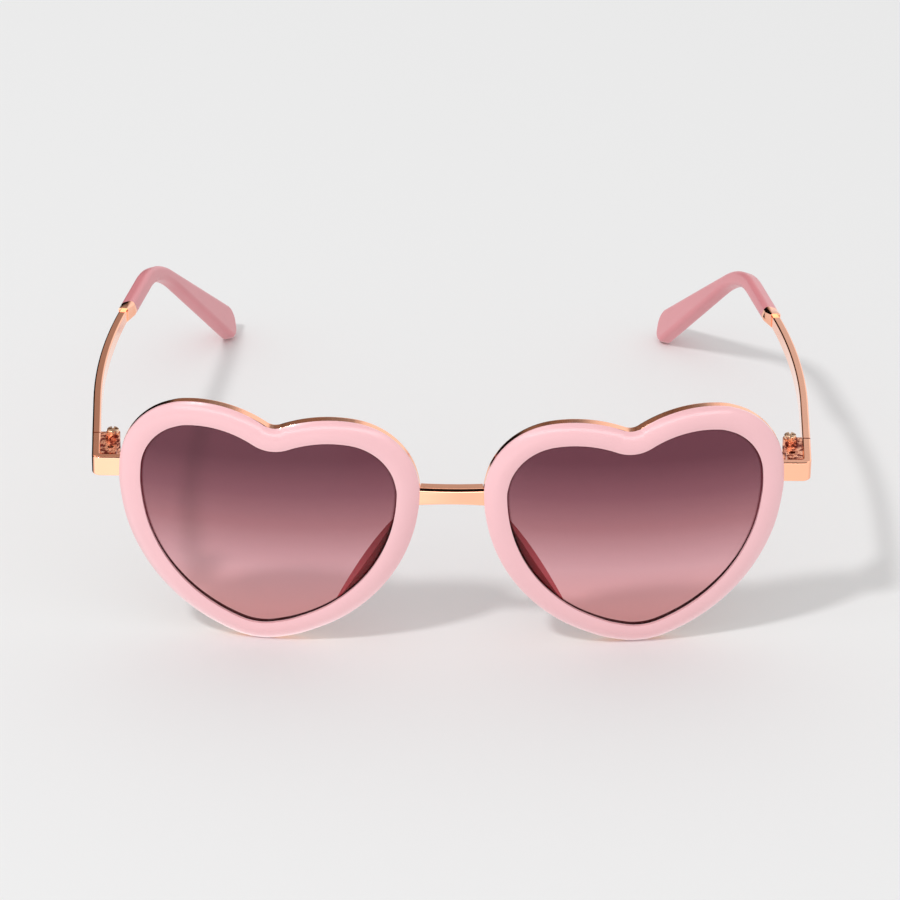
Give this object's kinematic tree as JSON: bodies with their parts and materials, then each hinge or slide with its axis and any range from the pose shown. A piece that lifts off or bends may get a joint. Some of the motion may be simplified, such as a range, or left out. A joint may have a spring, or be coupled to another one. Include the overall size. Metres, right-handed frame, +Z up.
{
  "type": "heart shaped sunglasses",
  "caption": "Child's sunglasses with heart shaped tinted lenses in domed pink rims on a rose gold wire front, with folding temples and bent pink tips.",
  "frame": {"origin": "on the floor under the middle of the object, midway between the temples and midway from the lenses to the temple tips", "axes": "+Z up, lenses face -Y, temples run to +Y, +X is the wearer's left"},
  "size_m": [0.1296, 0.1306, 0.0482],
  "materials": {
    "rose_gold": "polished rose gold plating",
    "pink_enamel": "gloss pink, domed",
    "tinted_lens": "polished, plum tint fading to pink at the bottom",
    "pad_plastic": "smooth moulded pink plastic",
    "hinge_metal": "cast and plated, slightly rough",
    "screw_metal": "turned and plated",
    "pink_tip": "satin gloss pink plastic",
    "core_steel": "drawn wire"
  },
  "bodies": {
    "front": {"bridge": "rose_gold", "left_eye_wire": "rose_gold", "right_eye_wire": "rose_gold", "left_rim": "pink_enamel", "right_rim": "pink_enamel", "left_lens": "tinted_lens", "right_lens": "tinted_lens", "left_nose_pad": "pad_plastic", "right_nose_pad": "pad_plastic", "left_end_piece": "rose_gold", "right_end_piece": "rose_gold", "left_hinge_front_leaf": "hinge_metal", "right_hinge_front_leaf": "hinge_metal", "left_hinge_screw": "screw_metal", "right_hinge_screw": "screw_metal"},
    "left_temple": {"left_hinge_temple_leaf": "hinge_metal", "left_temple_arm": "rose_gold", "left_temple_cuff": "rose_gold", "left_temple_tip": "pink_tip", "left_tip_core_wire": "core_steel"},
    "right_temple": {"right_hinge_temple_leaf": "hinge_metal", "right_temple_arm": "rose_gold", "right_temple_cuff": "rose_gold", "right_temple_tip": "pink_tip", "right_tip_core_wire": "core_steel"}
  },
  "joints": [
    {"name": "left_temple_fold", "type": "hinge", "parent": "front", "child": "left_temple", "pos_m": [0.06009, -0.04954, 0.03393], "axis": [0, 0, 1], "range_deg": [0, 84]},
    {"name": "right_temple_fold", "type": "hinge", "parent": "front", "child": "right_temple", "pos_m": [-0.06009, -0.04954, 0.03393], "axis": [0, 0, -1], "range_deg": [0, 77]}
  ]
}
